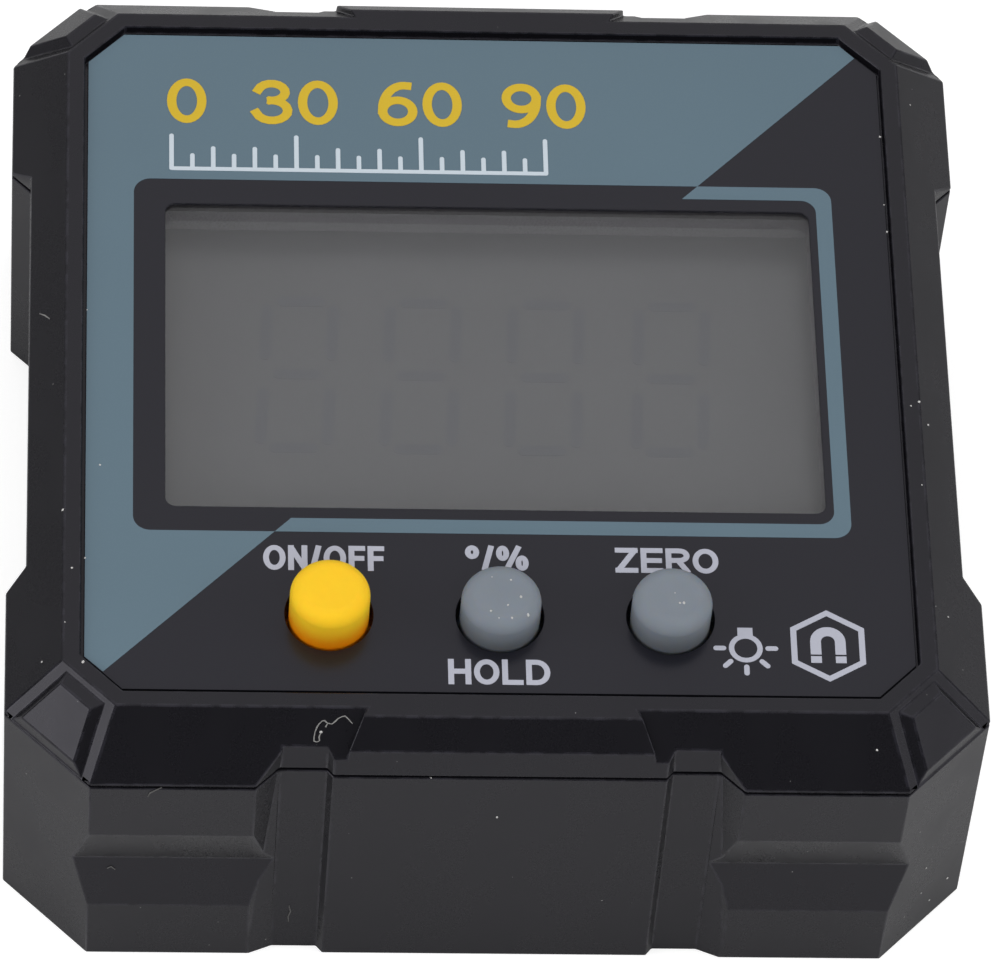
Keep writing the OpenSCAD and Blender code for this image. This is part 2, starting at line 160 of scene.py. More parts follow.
class Finish:
    """A procedural material of one of the gauge's surfaces."""

    def __init__(self, name):
        self.material = bpy.data.materials.new(name)
        self.material.use_nodes = True
        self.tree = self.material.node_tree
        self.tree.nodes.clear()
        self.output = self.tree.nodes.new("ShaderNodeOutputMaterial")
        self.place = self.node("TexCoord", {}, {}, "Object")

    def node(self, kind, settings, inputs, output=0):
        """Adds a node, sets it up, then gives its sockets values or links."""
        made = self.tree.nodes.new("ShaderNode" + kind)
        for name, value in settings.items():
            setattr(made, name, value)
        for name, value in inputs.items():
            socket = made.inputs[name]
            if isinstance(value, Value):
                self.tree.links.new(value.socket, socket)
            else:
                socket.default_value = value
        return Value(self, made.outputs[output])

    def noise(self, size, detail, stretch=(1, 1, 1)):
        """Noise from 0 to 1 whose features are about size millimetres wide."""
        scaled = self.node("VectorMath", {"operation": "MULTIPLY"}, {0: self.place, 1: stretch})
        inputs = {"Vector": scaled, "Scale": 1 / (size * MM), "Detail": detail}
        return self.node("TexNoise", {}, inputs)

    def specks(self, spacing, radius):
        """Sparse round dots in millimetres: 1 inside a dot."""
        inputs = {"Vector": self.place, "Scale": 1 / (spacing * MM)}
        distance = self.node("TexVoronoi", {}, inputs)
        return 1 - distance.between(0.6 * radius / spacing, radius / spacing)

    def axis(self, name):
        """The place along X, Y or Z in millimetres."""
        return self.node("SeparateXYZ", {}, {"Vector": self.place}, name) * (1 / MM)

    def mix(self, factor, first, second):
        """A colour between two colours."""
        colours = [c if isinstance(c, Value) else (*c, 1) for c in (first, second)]
        inputs = {MIX_FACTOR: factor, MIX_A: colours[0], MIX_B: colours[1]}
        return self.node("Mix", {"data_type": "RGBA"}, inputs, MIX_RESULT)

    def bump(self, height, depth, strength):
        """A normal for a relief of depth millimetres."""
        inputs = {"Height": height, "Distance": depth * MM, "Strength": strength}
        return self.node("Bump", {}, inputs)

    def surface(self, inputs):
        """Sets the finish's Principled shader and joins it to the output."""
        shader = self.node("BsdfPrincipled", {}, inputs)
        self.tree.links.new(shader.socket, self.output.inputs["Surface"])
        return shader


def shade(colour, factor):
    """A colour made lighter or darker."""
    return tuple(factor * c for c in colour)


def moulded_plastic(name, colour, roughness, dust=True, edge_wear_and_highlight=0.0):
    """Moulded satin plastic: fine spark grain, duller patches of wear and a little dust; an option lightens
    patches, partly real wear and partly a painted highlight along softened edges.
    """
    finish = Finish(name)
    mottle = finish.noise(9, 4)
    grain = finish.noise(0.16, 3)
    rub = finish.noise(3.2, 6, (1, 0.35, 0.6)).between(0.42, 0.68)
    base = finish.mix(mottle, shade(colour, 0.85), shade(colour, 1.18))
    gloss = roughness + 0.05 * rub + 0.04 * (grain - 0.5)
    if edge_wear_and_highlight:
        # Lighter patches: partly real wear, partly a painted highlight along the softened edges that use
        # this finish.
        wear_and_highlight = finish.noise(0.9, 4).between(0.34, 0.66)
        base = finish.mix(wear_and_highlight * edge_wear_and_highlight, base, shade(colour, 4.5))
        gloss = gloss - 0.08 * wear_and_highlight
    if dust:
        speck = finish.specks(1.9, 0.045)
        base = finish.mix(speck * 0.6, base, DUST_WHITE)
        gloss = gloss + 0.3 * speck
    finish.surface({
        "Base Color": base,
        "Roughness": gloss,
        "IOR": PLASTIC_IOR,
        "Specular Tint": GLOSS_TINT,
        "Normal": finish.bump(grain, 0.004, 0.3),
    })
    return finish.material


def printed_film(name, colour, roughness=0.22):
    """Ink under a satin film: faint grain and the soft ripple of a glued sheet."""
    finish = Finish(name)
    grain = finish.noise(0.12, 2)
    cloud = finish.noise(14, 3)
    ripple = finish.noise(6, 2)
    base = finish.mix(cloud, shade(colour, 0.96), shade(colour, 1.04))
    base = finish.mix((grain - 0.5) * 0.25, base, shade(colour, 1.5))
    finish.surface({
        "Base Color": base,
        "Roughness": roughness + 0.04 * (grain - 0.5) + 0.04 * cloud,
        "IOR": ACRYLIC_IOR,
        "Specular Tint": GLOSS_TINT,
        "Normal": finish.bump(ripple, 0.01, 0.3),
    })
    return finish.material


def clear_window():
    """Clear acrylic: shadows pass it, with a little haze and dust on it."""
    finish = Finish("clear_window")
    haze = finish.noise(7, 5).between(0.45, 0.75)
    pane = finish.surface({
        "Base Color": (0.97, 0.975, 0.98, 1),
        "Roughness": 0.008 + 0.012 * haze,
        "IOR": ACRYLIC_IOR,
        "Transmission Weight": 1.0,
    })
    shadow = finish.node("LightPath", {}, {}, "Is Shadow Ray")
    through = finish.node("BsdfTransparent", {}, {"Color": (0.9, 0.9, 0.9, 1)})
    both = finish.node("MixShader", {}, {0: shadow, 1: pane, 2: through})
    finish.tree.links.new(both.socket, finish.output.inputs["Surface"])
    return finish.material


def display_glass():
    """Grey reflective display glass behind a smooth polariser."""
    finish = Finish("display_glass")
    tooth = finish.noise(0.3, 2)
    cloud = finish.noise(18, 2)
    finish.surface({
        "Base Color": finish.mix(cloud, GLASS_DARK, GLASS_LIGHT),
        "Roughness": 0.3 + 0.02 * (tooth - 0.5),
        "IOR": PLASTIC_IOR,
        "Normal": finish.bump(tooth, 0.0001, 0.2),
    })
    return finish.material


def rubber(name, colour, foot_shade):
    """Silicone rubber: matt, a little uneven, with painted shade that darkens its colour towards the foot
    of the button.
    """
    finish = Finish(name)
    # Mask of the painted shade: 0 at the foot of the button, 1 from a height above the label.
    rise = finish.axis("Z").between(LABEL_TOP - RUBBER_SHADE_DEEP, LABEL_TOP + RUBBER_SHADE_HIGH)
    cloud = finish.noise(1.6, 3)
    tooth = finish.noise(0.1, 3)
    top_colour = finish.mix(cloud, shade(colour, 0.94), shade(colour, 1.05))
    finish.surface({
        "Base Color": finish.mix(rise, foot_shade, top_colour),
        "Roughness": 0.5 + 0.14 * cloud,
        "IOR": RUBBER_IOR,
        "Specular IOR Level": 0.2,
        "Subsurface Weight": 0.4,
        "Subsurface Radius": (1.8 * MM, 0.8 * MM, 0.3 * MM),
        "Normal": finish.bump(tooth, 0.006, 0.4),
    })
    return finish.material


def dust_flake(name, colour):
    """Fluffy and matt: dust, lint and scuff marks."""
    finish = Finish(name)
    fluff = finish.noise(0.05, 3)
    finish.surface({
        "Base Color": finish.mix(fluff, shade(colour, 0.7), colour),
        "Roughness": 0.9,
        "Specular IOR Level": 0.2,
        "Normal": finish.bump(fluff, 0.02, 0.6),
    })
    return finish.material


def metal(name, colour, roughness, brushed):
    """Plated or rolled metal with fine brush lines and dull patches."""
    finish = Finish(name)
    lines = finish.noise(0.12, 3, brushed)
    stain = finish.noise(2.4, 4).between(0.4, 0.75)
    finish.surface({
        "Base Color": finish.mix(stain, colour, shade(colour, 0.72)),
        "Metallic": 1.0,
        "Roughness": roughness + 0.16 * stain + 0.1 * (lines - 0.5),
        "Normal": finish.bump(lines, 0.004, 0.5),
    })
    return finish.material


def foam():
    """Closed cell foam with open bubbles on its cut faces."""
    finish = Finish("gasket_foam")
    cells = finish.node("TexVoronoi", {}, {"Vector": finish.place, "Scale": 1 / (0.22 * MM)})
    finish.surface({
        "Base Color": finish.mix(cells, FOAM_DARK, FOAM_LIGHT),
        "Roughness": 0.85 + 0.1 * cells,
        "Normal": finish.bump(cells, 0.05, 0.8),
    })
    return finish.material


def board_mask():
    """Green solder mask over copper: raised tracks and tinned dots."""
    finish = Finish("board_mask")
    tracks = finish.node("TexBrick", {"offset": 0.37, "squash": 1.7},
                         {"Vector": finish.place, "Scale": 90.0, "Mortar Size": 0.07}, "Fac")
    pads = finish.specks(2.1, 0.5)
    weave = finish.noise(0.3, 2)
    mask = finish.mix(tracks, (0.012, 0.075, 0.03), (0.022, 0.13, 0.05))
    finish.surface({
        "Base Color": finish.mix(pads, mask, (0.55, 0.54, 0.5)),
        "Metallic": pads * 0.9,
        "Roughness": 0.3 + 0.15 * weave,
        "Normal": finish.bump(tracks + pads, 0.03, 0.6),
    })
    return finish.material


def striped_rubber():
    """Contact strip: thin dark conductive layers between pink insulating ones."""
    finish = Finish("contact_layers")
    layers = finish.node("TexWave", {"wave_type": "BANDS", "bands_direction": "X"},
                         {"Vector": finish.place, "Scale": 900.0})
    tooth = finish.noise(0.15, 2)
    finish.surface({
        "Base Color": finish.mix(layers.between(0.35, 0.65), (0.5, 0.2, 0.24), (0.05, 0.04, 0.045)),
        "Roughness": 0.6 + 0.2 * tooth,
        "Normal": finish.bump(tooth, 0.01, 0.5),
    })
    return finish.material


def light_guide():
    """Milky light panel with its grid of scattering dots."""
    finish = Finish("light_guide")
    dots = finish.specks(0.8, 0.2)
    cloud = finish.noise(5, 2)
    finish.surface({
        "Base Color": finish.mix(dots, (0.72, 0.76, 0.73), (0.9, 0.92, 0.9)),
        "Roughness": 0.3 + 0.2 * cloud,
        "IOR": ACRYLIC_IOR,
        "Normal": finish.bump(dots, 0.02, 0.4),
    })
    return finish.material


def cell_sleeve():
    """Shrink sleeve of a battery cell: two plain colour bands, bare metal at the ends."""
    finish = Finish("cell_sleeve")
    along = finish.axis("Y")
    band = (along * along).between(*SLEEVE_BAND)
    cap = (along * along).between(*SLEEVE_CAP)
    scuff = finish.noise(1.4, 5, (1, 0.2, 1)).between(0.5, 0.75)
    sleeve = finish.mix(band, (0.02, 0.022, 0.026), (0.42, 0.2, 0.06))
    sleeve = finish.mix(scuff * 0.25, sleeve, (0.3, 0.29, 0.28))
    finish.surface({
        "Base Color": finish.mix(cap, sleeve, (0.62, 0.61, 0.58)),
        "Metallic": cap,
        "Roughness": 0.28 + 0.25 * scuff,
        "IOR": PLASTIC_IOR,
        "Normal": finish.bump(scuff, 0.01, 0.3),
    })
    return finish.material


case_plastic = moulded_plastic("case_plastic", CASE_BLACK, 0.27)
# Finish of the softened case edges: its lighter patches are partly real wear and partly a painted
# highlight.
case_edge = moulded_plastic("case_edge", CASE_BLACK, 0.26, False, 0.5)
holder_plastic = moulded_plastic("holder_plastic", (0.55, 0.55, 0.52), 0.42, False)
switch_plastic = moulded_plastic("switch_plastic", (0.012, 0.012, 0.012), 0.5, False)
chip_resin = moulded_plastic("chip_resin", (0.01, 0.01, 0.0105), 0.55, False)
plunger_plastic = moulded_plastic("plunger_plastic", (0.6, 0.6, 0.56), 0.45, False)
lamp_resin = moulded_plastic("lamp_resin", (0.75, 0.68, 0.4), 0.3, False)
label_black = printed_film("label_black", LABEL_BLACK)
label_blue = printed_film("label_blue", FIELD_BLUE)
print_grey = printed_film("print_grey", PRINT_GREY, 0.35)
print_white = printed_film("print_white", PRINT_WHITE, 0.35)
print_yellow = printed_film("print_yellow", PRINT_YELLOW, 0.35)
segment_grey = printed_film("segment_grey", SEGMENT_GREY, 0.3)
button_yellow = rubber("button_yellow", YELLOW_TOP, YELLOW_FOOT_SHADE)
button_grey = rubber("button_grey", GREY_TOP, GREY_FOOT_SHADE)
dust_white = dust_flake("dust_white", DUST_WHITE)
lint_grey = dust_flake("lint_grey", shade(DUST_WHITE, 0.45))
scuff_grey = dust_flake("scuff_grey", shade(DUST_WHITE, 0.24))
window_clear = clear_window()
lcd_grey = display_glass()
screw_black = metal("screw_black", (0.05, 0.05, 0.052), 0.4, (1, 1, 0.1))
screw_steel = metal("screw_steel", (0.5, 0.5, 0.48), 0.3, (1, 1, 0.1))
contact_steel = metal("contact_steel", (0.62, 0.62, 0.6), 0.26, (0.1, 1, 1))
magnet_plate = metal("magnet_plate", (0.6, 0.6, 0.61), 0.16, (1, 1, 0.2))


def dress(finish, *names, bevel=0.0, edge=None):
    """Gives CAD nodes their finish and, where they show, softened edges with a finish of their own."""
    for name in names:
        node = nodes[name]
        node.data.materials.clear()
        node.data.materials.append(finish)
        if bevel:
            node.data.materials.append(edge or finish)
            weld = node.modifiers.new("weld", "WELD")
            weld.merge_threshold = WELD_GAP * MM
            flat = node.modifiers.new("flat_faces", "DECIMATE")
            flat.decimate_type = "DISSOLVE"
            flat.angle_limit = FLAT_ANGLE
            soft = node.modifiers.new("soft_edges", "BEVEL")
            soft.width = bevel * MM
            soft.segments = EDGE_STEPS
            soft.limit_method = "ANGLE"
            soft.angle_limit = EDGE_ANGLE
            soft.use_clamp_overlap = False
            soft.face_strength_mode = "FSTR_ALL"
            soft.material = EDGE_SLOT
            even = node.modifiers.new("flat_shading", "WEIGHTED_NORMAL")
            even.use_face_influence = True


dress(case_plastic, "front_cover", bevel=0.12, edge=case_edge)
dress(case_plastic, "rear_case", bevel=0.09, edge=case_edge)
dress(case_plastic, "battery_door", bevel=0.05, edge=case_edge)
dress(label_black, "face_label", bevel=0.05)
dress(window_clear, "display_window")
dress(lcd_grey, "lcd_glass")
dress(foam(), "display_gasket")
dress(light_guide(), "light_panel")
dress(holder_plastic, "lcd_holder")
dress(striped_rubber(), "contact_strip")
dress(lamp_resin, "backlight_leds")
dress(board_mask(), "main_board")
dress(chip_resin, "controller_chip", "tilt_sensor")
dress(switch_plastic, "switch_bodies")
dress(button_yellow, "power_button")
dress(button_grey, "hold_button", "zero_button")
dress(plunger_plastic, "power_plunger", "hold_plunger", "zero_plunger")
dress(cell_sleeve(), "battery_left", "battery_right")
dress(contact_steel, "contact_bridge", "contact_positive", "contact_negative")
dress(magnet_plate, "base_magnets")
dress(screw_black, "case_screws")
dress(screw_steel, "board_screws")


def add_piece(name, shape, finish, slot, body="case"):
    """Turns a bmesh in millimetres into a piece that rides on a body."""
    bmesh.ops.recalc_face_normals(shape, faces=shape.faces)
    bmesh.ops.scale(shape, vec=(MM, MM, MM), verts=shape.verts)
    mesh = bpy.data.meshes.new(name)
    shape.to_mesh(mesh)
    shape.free()
    mesh.materials.append(finish)
    piece = bpy.data.objects.new(name, mesh)
    bpy.context.scene.collection.objects.link(piece)
    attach(piece, body)


def arc(centre, radius, start, end, steps=8):
    """Points of an arc, angles in degrees."""
    turns = [radians(start + (end - start) * i / steps) for i in range(steps + 1)]
    return [(centre[0] + radius * cos(t), centre[1] + radius * sin(t)) for t in turns]


def patch(shape, outline, low, thick=INK):
    """Adds a flat patch of ink with the given outline."""
    lower = [shape.verts.new((x, y, low)) for x, y in outline]
    upper = [shape.verts.new((x, y, low + thick)) for x, y in outline]
    shape.faces.new(upper)
    shape.faces.new(lower[::-1])
    for i in range(len(outline)):
        j = (i + 1) % len(outline)
        shape.faces.new((lower[i], lower[j], upper[j], upper[i]))


def ring(shape, outer, inner, low):
    """Adds a closed band of ink between two outlines with as many points each."""
    loops = []
    for outline, z in ((outer, low), (outer, low + INK), (inner, low + INK), (inner, low)):
        loops.append([shape.verts.new((x, y, z)) for x, y in outline])
    for k in range(4):
        first = loops[k]
        second = loops[(k + 1) % 4]
        for i in range(len(first)):
            j = (i + 1) % len(first)
            shape.faces.new((first[i], first[j], second[j], second[i]))


def bar(shape, start, end, width, low, thick=INK):
    """Adds a straight stroke with round ends."""
    along = Vector(end) - Vector(start)
    turn = 180 / pi * along.angle_signed(Vector((1, 0)))
    outline = arc(start, width / 2, turn + 90, turn + 270) + arc(end, width / 2, turn - 90, turn + 90)
    patch(shape, outline, low, thick)


def ribbon(shape, points, width, low):
    """Adds a bent stroke with square ends that reach half its width past the first and last point."""
    line = [Vector(p) for p in points]
    ways = [(b - a).normalized() for a, b in zip(line, line[1:])]
    line[0] = line[0] - ways[0] * width / 2
    line[-1] = line[-1] + ways[-1] * width / 2
    left = []
    right = []
    for i, point in enumerate(line):
        before = ways[max(i - 1, 0)]
        after = ways[min(i, len(ways) - 1)]
        across = Vector((-before.y - after.y, before.x + after.x)).normalized()
        reach = width / 2 / across.dot(Vector((-after.y, after.x)))
        left.append(point + across * reach)
        right.append(point - across * reach)
    patch(shape, [tuple(p) for p in left + right[::-1]], low)


def print_fields():
    """The two blue-grey fields: the upper left half of the label, and the stripe round the display."""
    side = LABEL_SIDE - INK_INSET
    end = LABEL_END - INK_INSET
    left = BORDER_LEFT + BORDER_ROUND
    field = [((-LABEL_REACH - SPLIT) / 2 + INK_INSET, (-LABEL_REACH + SPLIT) / 2 + INK_INSET)]
    field.append((BORDER_LOW - SPLIT, BORDER_LOW))
    field += arc((left, BORDER_LOW + BORDER_ROUND), BORDER_ROUND, 270, 180)
    field += arc((left, BORDER_HIGH - BORDER_ROUND), BORDER_ROUND, 180, 90)
    field.append((BORDER_HIGH - SPLIT, BORDER_HIGH))
    field.append(((LABEL_REACH - SPLIT) / 2 - INK_INSET, (LABEL_REACH + SPLIT) / 2 - INK_INSET))
    field += [(LABEL_REACH - LABEL_END, end), (LABEL_END - LABEL_REACH, end)]
    field += [(-side, LABEL_REACH - LABEL_SIDE), (-side, LABEL_SIDE - LABEL_REACH)]
    shape = bmesh.new()
    patch(shape, field, LABEL_TOP)
    right = BORDER_RIGHT - BORDER_ROUND
    outer_low = arc((right, BORDER_LOW + BORDER_ROUND), BORDER_ROUND, 270, 360)
    outer_high = arc((right, BORDER_HIGH - BORDER_ROUND), BORDER_ROUND, 0, 90)
    inner_round = 0.9 * BORDER_ROUND
    inner_right = BORDER_RIGHT - STRIPE - inner_round
    inner_low = arc((inner_right, BORDER_LOW + STRIPE + inner_round), inner_round, 360, 270)
    inner_high = arc((inner_right, BORDER_HIGH - STRIPE - inner_round), inner_round, 90, 0)
    stripe = [(BORDER_LOW - SPLIT, BORDER_LOW), *outer_low, *outer_high, (BORDER_HIGH - SPLIT, BORDER_HIGH)]
    stripe += [(BORDER_HIGH - STRIPE - SPLIT, BORDER_HIGH - STRIPE), *inner_high, *inner_low]
    stripe.append((BORDER_LOW + STRIPE - SPLIT, BORDER_LOW + STRIPE))
    patch(shape, stripe, LABEL_TOP)
    add_piece("label_fields", shape, label_blue, "label_print")


def oval(middle, wide, tall, steps=28):
    """A closed oval as points."""
    circle = arc((0, 0), 1, 0, 360 - 360 / steps, steps - 1)
    return [(middle[0] + wide * x, middle[1] + tall * y) for x, y in circle]


def bent(*parts):
    """One stroke of a letter from points and arcs (middle, radius across, radius upright, start, end)."""
    points = []
    for part in parts:
        if len(part) == 2:
            points.append(part)
        else:
            x, y, wide, tall, start, end = part
            points += [(x + wide * u, y + tall * v) for u, v in arc((0, 0), 1, start, end, 12)]
    return points


# Plain block letters and figures: width against height, open strokes,
# closed ovals (x, y, half width, half height).
STEM = [(0, 0), (0, 1)]
GLYPHS = {
    "O": (0.84, [], [(0.5, 0.5, 0.5, 0.5)]),
    "N": (0.72, [STEM, [(0.06, 0.96), (0.94, 0.04)], [(1, 0), (1, 1)]], []),
    "F": (0.62, [STEM, [(0, 1), (1, 1)], [(0, 0.5), (0.92, 0.5)]], []),
    "/": (0.42, [[(0.0, 0.0), (1.0, 1.0)]], []),
    "°": (0.5, [], [(0.5, 0.78, 0.5, 0.22)]),
    "%": (1.12, [[(0.3, 0), (0.72, 1)]], [(0.13, 0.74, 0.14, 0.26), (0.87, 0.26, 0.14, 0.26)]),
    "Z": (0.74, [[(0, 0), (1, 0)], [(0.04, 0.03), (0.96, 0.97)], [(0, 1), (1, 1)]], []),
    "E": (0.72, [STEM, [(0, 0), (1, 0)], [(0, 0.5), (0.94, 0.5)], [(0, 1), (1, 1)]], []),
    "R": (0.78, [STEM, bent((0, 1), (0.6, 0.76, 0.4, 0.24, 90, -90), (0, 0.52)),
                 [(0.55, 0.48), (0.98, 0)]], []),
    "H": (0.76, [STEM, [(0, 0.52), (1, 0.52)], [(1, 0), (1, 1)]], []),
    "L": (0.7, [STEM, [(0, 0), (1, 0)]], []),
    "D": (0.8, [STEM, bent((0, 1), (0.42, 0.5, 0.58, 0.5, 90, -90), (0, 0))], []),
    "0": (0.7, [], [(0.5, 0.5, 0.5, 0.5)]),
    "3": (0.68, [bent((0.45, 0.77, 0.46, 0.23, 165, -90)),
                 bent((0.45, 0.27, 0.54, 0.27, 90, -165))], []),
    "6": (0.7, [bent((0.0, 0.32), (0.72, 0.34, 0.72, 0.66, 170, 82))], [(0.5, 0.3, 0.5, 0.3)]),
    "9": (0.7, [bent((1.0, 0.68), (0.28, 0.66, 0.72, 0.66, -10, -98))], [(0.5, 0.7, 0.5, 0.3)]),
}


def lettering(name, words, place, stroke, low, finish, gap=0.09):
    """Plain words in strokes, fitted to a place (left, right, foot, head)."""
    left, right, foot, head = place
    whole = sum(GLYPHS[sign][0] for sign in words) + gap * (len(words) - 1)
    scale = (right - left) / whole
    tall = head - foot - stroke
    shape = bmesh.new()
    start = left
    for sign in words:
        width, strokes, ovals = GLYPHS[sign]
        wide = width * scale - stroke
        corner = Vector((start + stroke / 2, foot + stroke / 2))
        lift = low
        for points in strokes:
            ribbon(shape, [(corner.x + wide * x, corner.y + tall * y) for x, y in points], stroke, lift)
            lift += INK_STEP
        for x, y, half_wide, half_tall in ovals:
            middle = (corner.x + wide * x, corner.y + tall * y)
            outer = oval(middle, wide * half_wide + stroke / 2, tall * half_tall + stroke / 2)
            inner = oval(middle, wide * half_wide - stroke / 2, tall * half_tall - stroke / 2)
            ring(shape, outer, inner, lift)
        start += (width + gap) * scale
    add_piece(name, shape, finish, "label_print")


def print_scale():
    """A plain angle scale above the display: yellow numbers over thin white ticks."""
    first = -20.6
    last = 3.9
    base = 14.85
    stroke = 0.3
    step = 5
    numbered = 30
    whole = 90
    long_tick = 2.7
    middle_tick = 1.7
    short_tick = 1.1
    over_field = LABEL_TOP + INK
    ticks = bmesh.new()
    bar(ticks, (first, base), (last, base), stroke, over_field)
    for angle in range(0, whole + 1, step):
        x = first + (last - first) * angle / whole
        tall = short_tick
        if angle % numbered == 0:
            tall = long_tick
        elif angle % (2 * step) == 0:
            tall = middle_tick
        bar(ticks, (x, base), (x, base + tall), stroke, over_field + INK_STEP)
    add_piece("scale_ticks", ticks, print_white, "label_print")
    foot = 18.6
    head = 22.3
    digit = 2.6
    two_digits = 2.13 * digit
    margin = 0.3
    weight = 0.62
    for angle in range(0, whole + 1, numbered):
        x = first + (last - first) * angle / whole
        width = digit if angle < 10 else two_digits
        left = max(x - width / 2, first - margin)
        place = (left, left + width, foot, head)
        lettering(f"scale_{angle}", str(angle), place, weight, over_field, print_yellow)


def print_legends():
    """Plain words and unit signs beside the buttons."""
    stroke = 0.37
    lettering("legend_on_off", "ON/OFF", (-14.85, -7.2, -16.85, -14.95), stroke, LABEL_TOP, print_grey)
    lettering("legend_units", "°/%", (-2.1, 1.9, -16.7, -14.8), stroke, LABEL_TOP, print_grey)
    lettering("legend_zero", "ZERO", (7.4, 13.95, -16.75, -14.85), stroke, LABEL_TOP, print_grey)
    lettering("legend_hold", "HOLD", (-3.35, 3.05, -25.35, -23.45), stroke, LABEL_TOP, print_grey)


def print_lamp():
    """Lamp sign for the backlight."""
    x = 15.4
    y = -22.4
    radius = 1.07
    stroke = 0.34
    shape = bmesh.new()
    ring(shape, oval((x, y), radius, radius), oval((x, y), radius - stroke, radius - stroke), LABEL_TOP)
    cap = 0.48
    cap_tall = 0.62
    high = y + radius + cap
    low = high - cap_tall
    neck = [(x - cap, low), (x + cap, low), (x + cap, high), (x - cap, high)]
    patch(shape, neck, LABEL_TOP + INK_STEP)
    middle = Vector((x, y))
    ray_start = 1.4
    ray_end = 1.88
    for turn in (0, -45, -90, -135, -180):
        toward = Vector((cos(radians(turn)), sin(radians(turn))))
        bar(shape, middle + toward * ray_start, middle + toward * ray_end, stroke, LABEL_TOP)
    add_piece("lamp_sign", shape, print_grey, "label_print")


def print_magnet():
    """Horseshoe in a hexagon for the magnetic base."""
    x = 20.6
    y = -22.15
    wide = 2.7
    stroke = 0.44
    outer = [(x + wide * cos(radians(t)), y + wide * sin(radians(t))) for t in range(30, 390, 60)]
    within = 1 - stroke / wide
    inner = [(x + (px - x) * within, y + (py - y) * within) for px, py in outer]
    shape = bmesh.new()
    ring(shape, outer, inner, LABEL_TOP)
    bow = 1.12
    thick = 0.68
    middle = (x, y + 0.3)
    foot = y - 0.66
    shoe = [(x + bow, foot), *arc(middle, bow, 0, 180, 16), (x - bow, foot), (x - bow + thick, foot)]
    shoe += [*arc(middle, bow - thick, 180, 0, 16), (x + bow - thick, foot)]
    patch(shape, shoe, LABEL_TOP)
    gap = 0.13
    pole = 0.5
    high = foot - gap
    low = high - pole
    for side in (x - bow, x + bow - thick):
        tip = [(side, low), (side + thick, low), (side + thick, high), (side, high)]
        patch(shape, tip, LABEL_TOP)
    add_piece("magnet_sign", shape, print_grey, "label_print")


def display_segments():
    """Unlit figure segments, just visible on the display glass."""
    wide = 4.3
    tall = 12.6
    stroke = 0.95
    thin = 0.8 * stroke
    middle = 0.5
    lean = 0.05
    upper_foot = 0.12 * tall
    lower_foot = -0.41 * tall
    upright = 0.29 * tall
    shape = bmesh.new()
    for left in (-14.6, -6.6, 1.4, 9.6):
        for row in (-1, 0, 1):
            y = middle + row * (tall - stroke) / 2
            x = left + lean * y
            bar(shape, (x + stroke, y), (x + wide - stroke, y), thin, LCD_TOP, INK / 2)
        for side in (0, wide):
            for foot in (lower_foot, upper_foot):
                low = middle + foot
                high = low + upright
                x = left + side
                bar(shape, (x + lean * low, low), (x + lean * high, high), thin, LCD_TOP, INK / 2)
    add_piece("display_segments", shape, segment_grey, "display_glass")


print_fields()
print_scale()
print_legends()
print_lamp()
print_magnet()
display_segments()


def make_camera():
    """The photograph's viewpoint."""
    back = Vector((sin(AZIMUTH) * cos(ELEVATION), -cos(AZIMUTH) * cos(ELEVATION), sin(ELEVATION)))
    level = Vector((cos(AZIMUTH), sin(AZIMUTH), 0))
    upright = back.cross(level)
    across = cos(ROLL) * level - sin(ROLL) * upright
    up = sin(ROLL) * level + cos(ROLL) * upright
    data = bpy.data.cameras.new("camera")
    data.sensor_fit = "HORIZONTAL"
    data.sensor_width = SENSOR_W
    data.lens = FOCAL_PX / IMAGE_W * SENSOR_W
    data.clip_start = 0.05
    data.clip_end = 10
    camera = bpy.data.objects.new("camera", data)
    bpy.context.scene.collection.objects.link(camera)
    turn = Matrix((across, up, back)).transposed().to_4x4()
    camera.matrix_world = Matrix.Translation(CAMERA_AT) @ turn
    bpy.context.scene.camera = camera
    return across, up, back


across, up, back = make_camera()

# Dust, lint and scuffs seen in the photograph, as places in its frame.
DUST_ON_CASE = (
    (87, 310), (100, 465), (63, 510), (85, 558), (72, 568), (65, 622), (42, 662), (83, 662),
    (910, 105), (880, 137), (884, 205), (887, 232), (919, 402), (911, 406), (928, 425), (922, 485),
    (948, 617), (321, 732), (431, 778), (497, 817), (920, 832), (926, 868), (947, 878), (921, 893),
    (929, 900), (904, 917), (877, 750),
)
DUST_ON_HOLD = (
    (492, 577), (511, 580), (521, 597), (508, 605), (491, 611), (499, 618), (512, 618), (528, 615),
)
DUST_ON_ZERO = ((675, 593), (680, 603), (684, 603))
LINT = (
    (321, 732), (319, 737), (319.5, 740.5), (317, 742), (314, 741), (314, 737), (315, 732),
    (316.5, 728), (319, 724), (322, 721), (324.5, 720.5), (327.5, 723), (332, 724), (335, 721.5),
    (338, 718.5), (342, 716.5), (345, 716), (348, 718.5), (352.5, 723.5),
)
LINT_END = ((327.5, 723.5), (325.5, 727))
FIBRE = ((40, 314), (45, 315.5), (50, 319))
SCUFFS = (
    ((148, 796), (150, 792.5), (155, 790), (162, 787)),
    ((289, 905), (290.5, 911), (288, 916), (288.5, 921)),
    ((107, 868), (111, 866), (115, 869)),
)


def surface_under(names):
    """A function that gives the point and normal of some nodes seen at a place in the photograph."""
    bodies = []
    for name in names:
        mesh = nodes[name].data
        corners = [nodes[name].matrix_world @ v.co for v in mesh.vertices]
        bodies.append(BVHTree.FromPolygons(corners, [tuple(f.vertices) for f in mesh.polygons]))

    def look(place):
        sideways = (place[0] - IMAGE_W / 2) / FOCAL_PX
        upward = (IMAGE_H / 2 - place[1]) / FOCAL_PX
        ray = (across * sideways + up * upward - back).normalized()
        hits = [hit for hit in (body.ray_cast(CAMERA_AT, ray) for body in bodies) if hit[0]]
        point, normal, _, _ = min(hits, key=lambda hit: hit[3])
        return point / MM, normal

    return look


